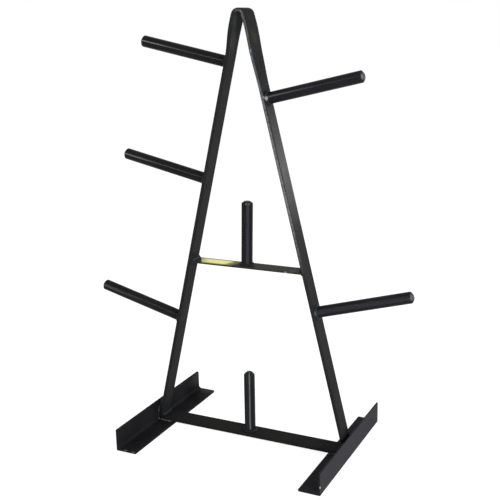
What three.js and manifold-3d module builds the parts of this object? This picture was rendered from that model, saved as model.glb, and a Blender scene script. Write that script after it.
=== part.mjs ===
// Plate tree: a welded stand that stores weight plates on round pegs.
// One flat bar is bent into a tall A and stands in two lengths of rolled angle.
// A base bar and a cross bar tie its legs, five pegs slope up from the outer
// faces of the legs, and two upright posts stand on the bars inside the A.
//
// Millimetres, +Z up, the floor at z = 0, +X to the side with two pegs.
// The A lies in the XZ plane and the feet run front to back along Y.

import * as THREE from 'three';
import { mergeVertices } from 'three/addons/utils/BufferGeometryUtils.js';
import Module from 'manifold-3d';

const wasm = await Module();
wasm.setup();

// Whole stand
const standHeight = 955;
const footSpan = 490; // over the outer faces of the two feet
const footLength = 372;
const footForward = 4.4; // how far the feet sit forward of the A's middle plane
const rootGap = 0.3; // left open under every weld

// Rolled equal angle of the feet
const angleSide = 50;
const angleWall = 5;
const angleRootRadius = 7;
const angleToeRadius = 3.5;
const angleHeelRadius = 1.5;

// Flat bar of the A-frame
const frameBarWidth = 40;
const frameBarThickness = 8;
const frameEdgeRadius = 2.5;
const bendInnerRadius = 6;

// Flat bar between the feet
const baseBarWidth = 45;
const baseBarThickness = 8;
const baseEdgeRadius = 1.5;

// Flat bar half way up
const crossBarWidth = 40;
const crossBarThickness = 4;
const crossEdgeRadius = 1;
const crossBarTop = 409;

// Round bar of the pegs and posts, turned to a short cone at the free end
const pegDiameter = 25;
const pegLength = 213;
const lowPegLength = 217; // of the lowest peg on each leg
const postLength = 143;
const pegNoseLength = 4.5;
const pegNoseDiameter = 13;
const pegNoseRadius = 2.4; // rounds both rims of the cone

// Each peg as it was welded: how high its axis leaves the leg's outer face, as
// a share of the stand's height, how many degrees it climbs from level, and how
// long it is
const pegPlaces = [
  { name: 'left_upper', side: -1, heightShare: 0.886, climb: 12.4, length: pegLength },
  { name: 'left_middle', side: -1, heightShare: 0.623, climb: 13.0, length: pegLength },
  { name: 'left_lower', side: -1, heightShare: 0.2796, climb: 14.7, length: lowPegLength },
  { name: 'right_upper', side: 1, heightShare: 0.8084, climb: 12.7, length: pegLength },
  { name: 'right_lower', side: 1, heightShare: 0.3351, climb: 15.7, length: lowPegLength },
];

// Each post as it was welded: its distance from the middle of the A, and how
// many degrees it leans from upright
const basePostOffset = -3.3;
const basePostLean = 0.2;
const crossPostOffset = -2.6;
const crossPostLean = 1.6;

// Fillet welds: the reach of each along both of the faces that it joins
const pegWeldSize = 5;
const crossWeldSize = 6;
const baseWeldSize = 5;
const footWeldSize = 4;
const weldEdgeInset = 1.5; // how far a weld stops short of each edge of a tie
const weldBulgeShare = 0.14; // how far a weld's face swells, of its size
const weldEndShare = 0.4; // how far a weld's end tapers, of its size
const weldEndLipShare = 0.18; // how much smaller its end is, of its size

// How finely round things are cut into flats
const pegFacets = 32;
const noseSteps = 3;
const bendSteps = 14;
const rootSteps = 5;
const edgeSteps = 2;
const weldSteps = 4;

const cutReach = 2 * angleSide; // how far a cutter runs past what it cuts

// Legs: each lies along the line from its foot's inner corner to the bend
const legSeat = angleWall + rootGap;
const legCornerX = footSpan / 2 - angleWall - rootGap;
const bendOuterRadius = bendInnerRadius + frameBarThickness;
const bendCentre = standHeight - bendOuterRadius;
const legRise = bendCentre - legSeat;
const legLean = Math.atan2(legCornerX, legRise)
  - Math.asin(bendOuterRadius / Math.hypot(legCornerX, legRise));

const paint = {
  frame: new THREE.MeshStandardMaterial({ color: 0x17171a, roughness: 0.38, metalness: 0.1 }),
  bars: new THREE.MeshStandardMaterial({ color: 0x151515, roughness: 0.42, metalness: 0.1 }),
  feet: new THREE.MeshStandardMaterial({ color: 0x1a1a1d, roughness: 0.45, metalness: 0.1 }),
  pegs: new THREE.MeshStandardMaterial({ color: 0x141416, roughness: 0.32, metalness: 0.1 }),
  welds: new THREE.MeshStandardMaterial({ color: 0x1b1c1f, roughness: 0.5, metalness: 0.1 }),
};

/** Distance of a leg's outer face from the middle of the stand, at a height. */
function legOuterX(height) {
  return legCornerX - (height - legSeat) * Math.tan(legLean);
}

/** Distance of a leg's inner face from the middle of the stand, at a height. */
function legInnerX(height) {
  return legOuterX(height) - frameBarThickness / Math.cos(legLean);
}

/** Turns a closed three.js geometry into a solid that can be cut. */
function toSolid(geometry) {
  const bare = geometry.clone();
  bare.deleteAttribute('normal');
  bare.deleteAttribute('uv');
  const merged = mergeVertices(bare);
  const index = merged.index;
  const position = merged.attributes.position;
  return new wasm.Manifold(new wasm.Mesh({
    numProp: position.itemSize,
    vertProperties: Float32Array.from(position.array),
    triVerts: Uint32Array.from(index.array),
  }));
}

/** Turns a cut solid back into a three.js geometry. */
function toGeometry(solid) {
  const mesh = solid.getMesh();
  const geometry = new THREE.BufferGeometry();
  const position = new THREE.BufferAttribute(mesh.vertProperties, mesh.numProp);
  geometry.setAttribute('position', position);
  geometry.setIndex(new THREE.BufferAttribute(mesh.triVerts, 1));
  geometry.computeVertexNormals();
  return geometry;
}

/** Extrudes an outline drawn in XZ along Y, centred, with rounded rims. */
function extrudeAcross(outline, width, edgeRadius) {
  const geometry = new THREE.ExtrudeGeometry(outline, {
    depth: width - 2 * edgeRadius,
    bevelEnabled: edgeRadius > 0,
    bevelThickness: edgeRadius,
    bevelSize: edgeRadius,
    bevelOffset: -edgeRadius,
    bevelSegments: edgeSteps,
  });
  geometry.translate(0, 0, edgeRadius - width / 2);
  geometry.rotateX(Math.PI / 2);
  return geometry;
}

/** Makes a named mesh from a geometry. */
function part(name, geometry, material) {
  const mesh = new THREE.Mesh(geometry, material);
  mesh.name = name;
  return mesh;
}

/** Points along a circular arc in XZ, both ends included. */
function arcPoints(centreX, centreZ, radius, from, to, steps) {
  const points = [];
  for (let step = 0; step <= steps; step += 1) {
    const angle = from + (to - from) * step / steps;
    points.push(new THREE.Vector2(
      centreX + radius * Math.cos(angle),
      centreZ + radius * Math.sin(angle),
    ));
  }
  return points;
}

/** The angle's section with its heel at a side's outer face, grown by a gap. */
function angleSection(side, gap = 0) {
  const wall = angleWall + gap;
  const tip = angleSide + gap;
  const root = angleWall + angleRootRadius;
  const heel = angleHeelRadius + gap;
  const toe = angleToeRadius;
  const quarter = Math.PI / 2;
  const points = [
    ...arcPoints(angleHeelRadius, angleHeelRadius, heel, 2 * quarter, 3 * quarter, edgeSteps),
    new THREE.Vector2(tip, -gap),
    ...arcPoints(tip - toe, wall - toe, toe, 0, quarter, rootSteps),
    ...arcPoints(root, root, angleRootRadius - gap, 3 * quarter, 2 * quarter, rootSteps),
    ...arcPoints(wall - toe, tip - toe, toe, 0, quarter, rootSteps),
    new THREE.Vector2(-gap, tip),
  ];
  const outerFace = footSpan / 2;
  return new THREE.Shape(points.map((p) => new THREE.Vector2(side * (outerFace - p.x), p.y)));
}

/** A length of angle, its wall outwards and its flange inwards, grown by a gap. */
function footGeometry(side, gap = 0) {
  const geometry = extrudeAcross(angleSection(side, gap), footLength, 0);
  geometry.translate(0, -footForward, 0);
  return geometry;
}

/** The A: one flat bar bent over at the top, ground below to fit both feet. */
function makeFrame() {
  const thickAcross = frameBarThickness / Math.cos(legLean);
  const floorX = legOuterX(0);
  const outline = new THREE.Shape([
    new THREE.Vector2(floorX, 0),
    ...arcPoints(0, bendCentre, bendOuterRadius, legLean, Math.PI - legLean, bendSteps),
    new THREE.Vector2(-floorX, 0),
    new THREE.Vector2(thickAcross - floorX, 0),
    ...arcPoints(0, bendCentre, bendInnerRadius, Math.PI - legLean, legLean, bendSteps),
    new THREE.Vector2(floorX - thickAcross, 0),
  ]);
  let bar = toSolid(extrudeAcross(outline, frameBarWidth, frameEdgeRadius));
  for (const side of [-1, 1]) {
    bar = bar.subtract(toSolid(footGeometry(side, rootGap)));
  }
  return part('bent_frame', toGeometry(bar), paint.frame);
}

/** A flat bar between the legs, its ends cut to the legs' slope. */
function makeTie(name, bottom, width, thickness, edgeRadius) {
  const top = bottom + thickness;
  const bottomX = legInnerX(bottom) - rootGap;
  const topX = legInnerX(top) - rootGap;
  const outline = new THREE.Shape([
    new THREE.Vector2(-bottomX, bottom),
    new THREE.Vector2(bottomX, bottom),
    new THREE.Vector2(topX, top),
    new THREE.Vector2(-topX, top),
  ]);
  return part(name, extrudeAcross(outline, width, edgeRadius), paint.bars);
}

/** Cuts away all of a solid that lies under the face that it stands on. */
function trimToFace(geometry) {
  const block = new THREE.BoxGeometry(cutReach, cutReach, cutReach);
  block.translate(0, 0, rootGap - cutReach / 2);
  return toGeometry(toSolid(geometry).subtract(toSolid(block)));
}

/** Profile of a round bar from its sunk end to its turned nose. */
function pegProfile(length) {
  const radius = pegDiameter / 2;
  const noseRadius = pegNoseDiameter / 2;
  const square = Math.PI / 2;
  const slope = Math.atan2(radius - noseRadius, pegNoseLength);
  const shoulder = length - pegNoseLength - pegNoseRadius * Math.tan(slope / 2);
  const rim = noseRadius - pegNoseRadius * Math.tan((square - slope) / 2);
  return [
    new THREE.Vector2(0, -radius),
    new THREE.Vector2(radius, -radius),
    ...arcPoints(radius - pegNoseRadius, shoulder, pegNoseRadius, 0, slope, noseSteps),
    ...arcPoints(rim, length - pegNoseRadius, pegNoseRadius, slope, square, noseSteps),
    new THREE.Vector2(0, length),
  ];
}

/** Profile of a ring weld round a peg, closed on itself. */
function ringWeldProfile() {
  const inner = pegDiameter / 2 + rootGap;
  const foot = new THREE.Vector2(inner + pegWeldSize, rootGap);
  const crown = new THREE.Vector2(inner, rootGap + pegWeldSize);
  const sunk = -pegWeldSize;
  return [
    new THREE.Vector2(inner, sunk),
    new THREE.Vector2(foot.x, sunk),
    ...bulgePoints(foot, crown, pegWeldSize),
    new THREE.Vector2(inner, sunk),
  ];
}

/** Points along a weld's face: a straight slope from toe to toe that swells. */
function bulgePoints(from, to, size) {
  const along = to.clone().sub(from);
  const outward = new THREE.Vector2(along.y, -along.x).normalize();
  const points = [];
  for (let step = 0; step <= weldSteps; step += 1) {
    const share = step / weldSteps;
    const swell = size * weldBulgeShare * Math.sin(Math.PI * share);
    points.push(from.clone().addScaledVector(along, share).addScaledVector(outward, swell));
  }
  return points;
}

/** A round bar welded to a face: the group's +Z leaves the face squarely. */
function makeWeldedPeg(name, length, lean) {
  const seat = new THREE.Group();
  const bar = new THREE.LatheGeometry(pegProfile(length), pegFacets);
  const weld = new THREE.LatheGeometry(ringWeldProfile(), pegFacets);
  for (const turned of [bar, weld]) {
    turned.rotateX(Math.PI / 2);
    turned.rotateY(lean);
  }
  seat.add(part(name, trimToFace(bar), paint.pegs));
  seat.add(part(`weld_${name}`, trimToFace(weld), paint.welds));
  return seat;
}

/** A peg on the outer face of a leg. */
function makeLegPeg({ name, side, heightShare, climb, length }) {
  const height = standHeight * heightShare;
  const climbAngle = THREE.MathUtils.degToRad(climb);
  const seat = makeWeldedPeg(`peg_${name}`, length, side * (legLean - climbAngle));
  seat.position.set(side * legOuterX(height), 0, height);
  seat.rotation.y = side * (Math.PI / 2 - legLean);
  return seat;
}

/** A post on the top of one of the bars. */
function makePost(name, offset, barTop, lean) {
  const seat = makeWeldedPeg(name, postLength, THREE.MathUtils.degToRad(lean));
  seat.position.set(offset, 0, barTop);
  return seat;
}

/** Section of a fillet weld in the corner between two faces. */
function filletSection(corner, alongFirst, alongSecond, size) {
  const between = Math.acos(alongFirst.dot(alongSecond));
  const setback = rootGap / Math.sin(between);
  const root = corner.clone()
    .addScaledVector(alongFirst, setback)
    .addScaledVector(alongSecond, setback);
  const toes = [alongFirst, alongSecond].map((along) => root.clone().addScaledVector(along, size));
  if (alongFirst.cross(alongSecond) < 0) {
    toes.reverse();
  }
  return new THREE.Shape([root, ...bulgePoints(...toes, size)]);
}

/** Sweeps a weld's section along a straight joint, with tapered ends. */
function runWeld(section, length, size) {
  const taper = size * weldEndShare;
  const lip = size * weldEndLipShare;
  const geometry = new THREE.ExtrudeGeometry(section, {
    depth: length - 2 * taper,
    bevelThickness: taper,
    bevelSize: lip,
    bevelOffset: -lip,
    bevelSegments: edgeSteps,
  });
  geometry.translate(0, 0, taper - length / 2);
  geometry.rotateX(Math.PI / 2);
  return geometry;
}

/** A weld across the top or the underside of a tie, in the corner at a leg. */
function makeTieWeld(name, side, height, upward, width, size) {
  const corner = new THREE.Vector2(side * legInnerX(height), height);
  const alongTie = new THREE.Vector2(-side, 0);
  const alongLeg = new THREE.Vector2(-side * Math.sin(legLean), Math.cos(legLean));
  alongLeg.multiplyScalar(upward);
  const section = filletSection(corner, alongTie, alongLeg, size);
  return part(name, runWeld(section, width - 2 * weldEdgeInset, size), paint.welds);
}

/** A weld along one edge of the base bar, on the flange of a foot. */
function makeFootWeld(name, side, front) {
  const toeX = footSpan / 2 - angleSide;
  const rootX = footSpan / 2 - angleWall - angleRootRadius;
  const length = rootX - toeX;
  const corner = new THREE.Vector2(0, angleWall);
  const alongFlange = new THREE.Vector2(1, 0);
  const alongEdge = new THREE.Vector2(0, 1);
  const section = filletSection(corner, alongFlange, alongEdge, footWeldSize);
  const bead = runWeld(section, length, footWeldSize);
  bead.rotateZ(front * Math.PI / 2);
  const mesh = part(name, bead, paint.welds);
  mesh.position.set(side * (toeX + rootX) / 2, front * baseBarWidth / 2, 0);
  return mesh;
}

const stand = new THREE.Group();
const baseBarBottom = angleWall + rootGap;
const baseBarTop = baseBarBottom + baseBarThickness;
const crossBarBottom = crossBarTop - crossBarThickness;
const crossWeldRun = Math.min(crossBarWidth, frameBarWidth);
const baseWeldRun = Math.min(baseBarWidth, frameBarWidth);

stand.add(makeFrame());
stand.add(makeTie('base_bar', baseBarBottom, baseBarWidth, baseBarThickness, baseEdgeRadius));
stand.add(makeTie('cross_bar', crossBarBottom, crossBarWidth, crossBarThickness, crossEdgeRadius));

for (const place of pegPlaces) {
  stand.add(makeLegPeg(place));
}
stand.add(makePost('post_base', basePostOffset, baseBarTop, basePostLean));
stand.add(makePost('post_cross', crossPostOffset, crossBarTop, crossPostLean));

for (const { label, side } of [{ label: 'left', side: -1 }, { label: 'right', side: 1 }]) {
  stand.add(part(`foot_${label}`, footGeometry(side), paint.feet));
  stand.add(makeTieWeld(`weld_cross_${label}_top`, side, crossBarTop, 1, crossWeldRun, crossWeldSize));
  stand.add(makeTieWeld(`weld_cross_${label}_under`, side, crossBarBottom, -1, crossWeldRun, crossWeldSize));
  stand.add(makeTieWeld(`weld_base_${label}`, side, baseBarTop, 1, baseWeldRun, baseWeldSize));
  stand.add(makeFootWeld(`weld_foot_${label}_front`, side, -1));
  stand.add(makeFootWeld(`weld_foot_${label}_back`, side, 1));
}

// The pegs reach further on one side than on the other and the feet further to
// the front, so the whole stand is moved to put its middle over the origin
const middle = new THREE.Box3().setFromObject(stand, true).getCenter(new THREE.Vector3());
stand.position.set(-middle.x, -middle.y, 0);

export default stand;
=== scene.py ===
"""Dresses the welded plate tree: finer solids, black paint and a white studio.

Metres, +Z up, +X to the side with two pegs. The pieces are drawn about the
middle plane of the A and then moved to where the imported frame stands.
"""

import logging
import math
from collections.abc import Callable, Iterable, Sequence
from dataclasses import dataclass, field, replace
from enum import Enum

import bmesh
import bpy
from mathutils import Matrix, Vector


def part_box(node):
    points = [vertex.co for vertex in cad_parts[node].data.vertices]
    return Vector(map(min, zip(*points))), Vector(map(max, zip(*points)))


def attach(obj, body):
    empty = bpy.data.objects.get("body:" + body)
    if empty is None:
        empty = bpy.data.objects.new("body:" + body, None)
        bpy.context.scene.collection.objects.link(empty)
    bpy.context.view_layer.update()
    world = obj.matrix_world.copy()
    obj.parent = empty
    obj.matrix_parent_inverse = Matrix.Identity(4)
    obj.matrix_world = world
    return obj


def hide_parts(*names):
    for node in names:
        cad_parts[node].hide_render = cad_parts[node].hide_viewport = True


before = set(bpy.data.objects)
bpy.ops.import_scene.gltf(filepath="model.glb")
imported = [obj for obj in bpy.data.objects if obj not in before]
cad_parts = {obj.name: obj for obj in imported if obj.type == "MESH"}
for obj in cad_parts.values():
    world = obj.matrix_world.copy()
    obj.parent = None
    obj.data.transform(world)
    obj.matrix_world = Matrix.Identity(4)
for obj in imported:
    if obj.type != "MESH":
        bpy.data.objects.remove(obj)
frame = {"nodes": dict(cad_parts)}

LOG = logging.getLogger("plate_tree")

Point = tuple[float, float]
Place = tuple[float, float, float]
Colour = tuple[float, float, float]
Mesh = bpy.types.Mesh
Object = bpy.types.Object
Paint = bpy.types.Material
Node = bpy.types.Node
Socket = bpy.types.NodeSocket

# Attributes that a finish or a tree reads from a mesh
GRAIN = "grain"  # how far along, across and into its bar a point lies
TIP = "tip"  # 0 on a peg's side to 1 on its end
SWELL = "swell"  # how much a weld's ripples lift a point, 0 to 1

QUARTER = math.pi / 2
WHITE = (1.0, 1.0, 1.0, 1.0)
WELD_SHARP = 60.0  # degrees


class Side(Enum):
    """The two legs, by the sign of their X."""

    LEFT = -1
    RIGHT = 1

    @property
    def label(self) -> str:
        """The word used for this side in piece names."""
        return self.name.lower()


class Slot(Enum):
    """The record's material slots."""

    FRAME = "frame_paint"
    BASE = "base_paint"
    CROSS = "cross_paint"
    FOOT = "foot_paint"
    PEG = "peg_paint"
    WELD = "weld_paint"


@dataclass(frozen=True)
class Layout:
    """Sizes that several pieces share."""

    height: float = 0.955
    foot_span: float = 0.490
    foot_length: float = 0.372
    foot_forward: float = 0.0044
    weld_gap: float = 0.0003
    angle_side: float = 0.050
    angle_wall: float = 0.005
    angle_root: float = 0.007
    bar_width: float = 0.040
    bar_thickness: float = 0.008
    bend_inner: float = 0.006

    @property
    def bend_outer(self) -> float:
        """Radius of the outside of the bend."""
        return self.bend_inner + self.bar_thickness

    @property
    def bend_middle(self) -> float:
        """Radius of the bend in the middle of the bar."""
        return self.bend_inner + self.bar_thickness / 2

    @property
    def bend_centre(self) -> float:
        """Height of the middle of the bend."""
        return self.height - self.bend_outer

    @property
    def seat(self) -> float:
        """Height of the lowest point of a leg."""
        return self.angle_wall + self.weld_gap

    @property
    def corner(self) -> float:
        """Distance of a leg's lowest outer corner from the middle."""
        return self.foot_span / 2 - self.seat

    @property
    def lean(self) -> float:
        """Angle of a leg from upright."""
        rise = self.bend_centre - self.seat
        reach = math.hypot(self.corner, rise)
        return math.atan2(self.corner, rise) - math.asin(self.bend_outer / reach)

    def outer_x(self, height: float) -> float:
        """Distance of a leg's outer face from the middle at a height."""
        return self.corner - (height - self.seat) * math.tan(self.lean)

    def inner_x(self, height: float) -> float:
        """Distance of a leg's inner face from the middle at a height."""
        return self.outer_x(height) - self.bar_thickness / math.cos(self.lean)


LAYOUT = Layout()


def stand_origin() -> Vector:
    """Finds where the middle of the A stands on the floor.

    Returns:
        The point that the pieces are drawn about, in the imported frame.
    """
    low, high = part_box("bent_frame")
    return Vector(((low.x + high.x) / 2, (low.y + high.y) / 2, 0))


# Meshes

MERGE_UNDER = 1e-7
SLIVER_UNDER = 1e-8


def arc(centre: Point, radius: float, start: float, end: float, steps: int) -> list[Point]:
    """Makes points along an arc, both ends included.

    Args:
        centre: Middle of the arc.
        radius: Radius of the arc.
        start: Angle of the first point.
        end: Angle of the last point.
        steps: How many chords the arc has.

    Returns:
        The points in order.
    """
    turns = [start + (end - start) * step / steps for step in range(steps + 1)]
    return [(centre[0] + radius * math.cos(turn), centre[1] + radius * math.sin(turn))
            for turn in turns]


def ring(radius: float, steps: int) -> list[Point]:
    """Makes points round a full circle about the origin."""
    return arc((0.0, 0.0), radius, 0.0, 2 * math.pi, steps)[:-1]


def shifted(point: Point, along: Point, by: float) -> Point:
    """Moves a point in the plane by a distance along a direction."""
    return point[0] + along[0] * by, point[1] + along[1] * by


def eased(value: float, low: float, high: float) -> float:
    """Rises smoothly from 0 at one number to 1 at another."""
    share = min(1.0, max(0.0, (value - low) / (high - low)))
    return share * share * (3.0 - 2.0 * share)


def linked(name: str, data: bpy.types.ID) -> Object:
    """Makes an object from its data and puts it in the scene.

    Args:
        name: The object's name.
        data: Its mesh, lamp or camera.

    Returns:
        The new object.
    """
    made = bpy.data.objects.new(name, data)
    bpy.context.scene.collection.objects.link(made)
    return made


def path_object(points: Sequence[Sequence[float]], closed: bool = False) -> Object:
    """Draws a path as a run of edges.

    Args:
        points: The points in order.
        closed: True to join the last point to the first.

    Returns:
        A scratch object, removed after the sweep.
    """
    count = len(points)
    edges = [(i, (i + 1) % count) for i in range(count if closed else count - 1)]
    mesh = bpy.data.meshes.new("path")
    mesh.from_pydata([tuple(point) for point in points], edges, [])
    return linked("scratch", mesh)


@dataclass
class Section:
    """A closed outline, of points (out, up), that a bar or bead is swept from."""

    points: list[Point] = field(default_factory=list)
    swell: list[float] = field(default_factory=list)

    def add(self, points: Iterable[Point], swell: float = 0.0) -> None:
        """Adds points that share one swell.

        Args:
            points: The points to add.
            swell: How much a weld's ripples lift them.
        """
        for point in points:
            self.points.append(point)
            self.swell.append(swell)

    def as_object(self) -> Object:
        """Draws the outline as a ring of edges that Geometry Nodes can read.

        Returns:
            A scratch object, removed after the sweep.
        """
        made = path_object([(out, -up, 0.0) for out, up in self.points], closed=True)
        made.data.attributes.new(SWELL, "FLOAT", "POINT").data.foreach_set("value", self.swell)
        return made


def rounded_bar(width: float, thickness: float, radius: float, near: float = 0.0005,
                far: float = 0.0022, steps: int = 5) -> Section:
    """Makes the section of a flat bar with rounded edges.

    Args:
        width: Size across, along the section's first axis.
        thickness: Size along the section's second axis.
        radius: Radius of the four edges.
        near: Where a first point beside each edge keeps the flats flat.
        far: Where a second one does, at most half way along the flat.
        steps: How many chords each edge has.

    Returns:
        The section.
    """
    section = Section()
    half_width, half_thickness = width / 2 - radius, thickness / 2 - radius
    far = min(far, half_thickness)
    for quarter, (out, up) in enumerate(((1, 1), (-1, 1), (-1, -1), (1, -1))):
        start = quarter * QUARTER
        before = (math.sin(start), -math.cos(start))
        after = (-math.cos(start), -math.sin(start))
        curve = arc((half_width * out, half_thickness * up), radius, start, start + QUARTER, steps)
        section.add(shifted(curve[0], before, by) for by in (far, near))
        section.add(curve)
        section.add(shifted(curve[-1], after, by) for by in (near, far))
    return section


def evaluated_mesh(carrier: Object, *helpers: Object) -> Mesh:
    """Takes the mesh that an object's modifiers give, and clears up after it.

    Args:
        carrier: The object with the modifiers.
        helpers: Scratch objects that the modifiers read.

    Returns:
        A plain mesh.
    """
    bpy.context.view_layer.update()
    graph = bpy.context.evaluated_depsgraph_get()
    mesh = bpy.data.meshes.new_from_object(
        carrier.evaluated_get(graph), preserve_all_data_layers=True, depsgraph=graph
    )
    for used in (carrier, *helpers):
        used.modifiers.clear()
        bpy.data.objects.remove(used)
    return mesh


def tidy_mesh(mesh: Mesh, sharp_degrees: float = 40.0) -> None:
    """Closes a mesh, points its faces outwards and marks its sharp edges.

    Args:
        mesh: The mesh to change.
        sharp_degrees: Edges that turn more than this stay sharp.
    """
    work = bmesh.new()
    work.from_mesh(mesh)
    bmesh.ops.remove_doubles(work, verts=work.verts, dist=MERGE_UNDER)
    bmesh.ops.dissolve_degenerate(work, edges=work.edges, dist=SLIVER_UNDER)
    bmesh.ops.recalc_face_normals(work, faces=work.faces)
    work.to_mesh(mesh)
    work.free()
    mesh.shade_smooth()
    mesh.set_sharp_from_angle(angle=math.radians(sharp_degrees))


def filed(mesh: Mesh, width: float, over_degrees: float = 50.0) -> Mesh:
    """Files the sharp edges of a sawn end.

    Args:
        mesh: The mesh to file.
        width: How much is taken off.
        over_degrees: Edges that turn more than this are filed.

    Returns:
        The filed mesh.
    """
    body = linked("scratch", mesh)
    bevel = body.modifiers.new("ease", "BEVEL")
    bevel.width = width
    bevel.segments = 2
    bevel.limit_method = "ANGLE"
    bevel.angle_limit = math.radians(over_degrees)
    made = evaluated_mesh(body)
    tidy_mesh(made)
    return made


def set_grain(mesh: Mesh, place: Callable[[Vector], Sequence[float]]) -> None:
    """Stores where each point lies along, across and into its bar.

    Args:
        mesh: The mesh to mark, still about the middle of the A.
        place: Works out the three distances for a point.
    """
    layer = mesh.attributes.new(GRAIN, "FLOAT_VECTOR", "POINT")
    values = [value for vertex in mesh.vertices for value in place(vertex.co)]
    layer.data.foreach_set("vector", values)


def piece(name: str, mesh: Mesh, material: Paint, slot: Slot, *nodes: str) -> None:
    """Finishes a piece: places it, paints it and ties it to the frame.

    Args:
        name: Name of the new object.
        mesh: Its mesh, about the middle of the A.
        material: Its finish.
        slot: The record's slot that the finish belongs to; not used.
        nodes: The CAD nodes that it stands for.
    """
    mesh.name = name
    mesh.transform(Matrix.Translation(stand_origin()))
    mesh.materials.clear()
    mesh.materials.append(material)
    made = linked(name, mesh)
    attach(made, "root")
    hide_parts(*nodes)
    LOG.info("%s: %d faces, for %s", name, len(mesh.polygons), ", ".join(nodes))


# Node trees

NUMBER_RESULTS = ("LENGTH", "DISTANCE", "DOT_PRODUCT")


@dataclass(frozen=True)
class Pattern:
    """A cloudy pattern, drawn out where along is under 1.

    Where only a part of its range shows, that part is given.
    """

    scale: float
    detail: float = 2.0
    seed: float = 0.0
    stir: float = 0.0
    shown: Point | None = None
    along: float = 1.0


class Graph:
    """Adds nodes to a tree and joins them."""

    def __init__(self, tree: bpy.types.NodeTree) -> None:
        """Keeps the shader or geometry tree that the nodes go into."""
        self.tree = tree

    def node(self, kind: str, inputs: dict | None = None, **settings: object) -> Node:
        """Adds a node, sets it and feeds its inputs.

        Args:
            kind: The node's type name.
            inputs: Values or output sockets by the input's name or number.
            settings: The node's own settings.

        Returns:
            The new node.
        """
        made = self.tree.nodes.new(kind)
        for key, value in settings.items():
            setattr(made, key, value)
        for key, value in (inputs or {}).items():
            self.feed(made.inputs[key], value)
        return made

    def feed(self, socket: Socket, value: object) -> None:
        """Gives an input a plain value or joins an output to it.

        Args:
            socket: The input.
            value: A number, colour or output socket.
        """
        if isinstance(value, Socket):
            self.tree.links.new(value, socket)
        else:
            socket.default_value = value

    def math(self, operation: str, *values: object) -> Socket:
        """Adds a sum on up to three numbers or sockets."""
        inputs = dict(enumerate(values))
        return self.node("ShaderNodeMath", inputs, operation=operation).outputs[0]

    def plus(self, first: object, second: object) -> Socket:
        """Adds two numbers."""
        return self.math("ADD", first, second)

    def minus(self, first: object, second: object) -> Socket:
        """Takes the second number from the first."""
        return self.math("SUBTRACT", first, second)

    def times(self, first: object, *others: object) -> Socket:
        """Multiplies two numbers or more.

        Args:
            first: The first number.
            others: The numbers that it is multiplied by.

        Returns:
            The result's socket.
        """
        for other in others:
            first = self.math("MULTIPLY", first, other)
        return first

    def times_plus(self, value: object, factor: object, base: object) -> Socket:
        """Multiplies a number by a factor and adds a base."""
        return self.math("MULTIPLY_ADD", value, factor, base)

    def between(self, share: object, first: float, last: float) -> Socket:
        """Goes from one number to another as a share goes from 0 to 1."""
        return self.times_plus(share, last - first, first)

    def vector(self, operation: str, first: object, second: object = (0.0, 0.0, 0.0)) -> Socket:
        """Adds a sum on vectors.

        Args:
            operation: The node's operation.
            first: First vector or socket.
            second: Second vector or socket, or the number of a scaling.

        Returns:
            The result's socket.
        """
        inputs = {0: first, 3 if operation == "SCALE" else 1: second}
        made = self.node("ShaderNodeVectorMath", inputs, operation=operation)
        return made.outputs["Value" if operation in NUMBER_RESULTS else "Vector"]

    def split(self, vector: Socket) -> tuple[Socket, ...]:
        """Splits a vector into its three numbers."""
        return tuple(self.node("ShaderNodeSeparateXYZ", {"Vector": vector}).outputs)

    def ramp(self, value: object, low: float, high: float) -> Socket:
        """Turns a range of numbers into a smooth 0 to 1.

        Args:
            value: The number's socket.
            low: Where the result is 0.
            high: Where the result is 1.

        Returns:
            The result's socket.
        """
        inputs = {"Value": value, "From Min": low, "From Max": high}
        made = self.node("ShaderNodeMapRange", inputs, interpolation_type="SMOOTHSTEP")
        return made.outputs["Result"]

    def noise(self, where: object, pattern: Pattern, seed: object = None) -> Socket:
        """Adds a cloudy pattern.

        Args:
            where: Where it is read.
            pattern: The pattern.
            seed: Picks another pattern of the same kind.

        Returns:
            The pattern's socket, from 0 to 1.
        """
        if pattern.along < 1.0:
            where = self.vector("MULTIPLY", where, (pattern.along, 1.0, 1.0))
        inputs = {"Vector": where, "W": pattern.seed if seed is None else seed,
                  "Scale": pattern.scale, "Detail": pattern.detail, "Distortion": pattern.stir}
        made = self.node("ShaderNodeTexNoise", inputs, noise_dimensions="4D").outputs[0]
        return self.ramp(made, *pattern.shown) if pattern.shown else made

    def mix(self, share: object, first: object, second: object) -> Socket:
        """Mixes two colours.

        Args:
            share: How much of the second, 0 to 1.
            first: First colour.
            second: Second colour.

        Returns:
            The mixed colour's socket.
        """
        made = self.node("ShaderNodeMix", data_type="RGBA")
        for number, value in ((0, share), (6, first), (7, second)):
            self.feed(made.inputs[number], (*value, 1.0) if isinstance(value, tuple) else value)
        return made.outputs[2]


class PaintGraph(Graph):
    """A material's nodes, which know where on the stand and on its bar a point lies."""

    def __init__(self, tree: bpy.types.NodeTree) -> None:
        """Keeps the material's tree and adds the two places."""
        super().__init__(tree)
        self.spot = self.node("ShaderNodeTexCoord").outputs["Object"]
        self.bar = self.stored(GRAIN, "Vector")

    def stored(self, name: str, output: str) -> Socket:
        """Reads an attribute of the mesh."""
        return self.node("ShaderNodeAttribute", attribute_name=name).outputs[output]


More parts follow.
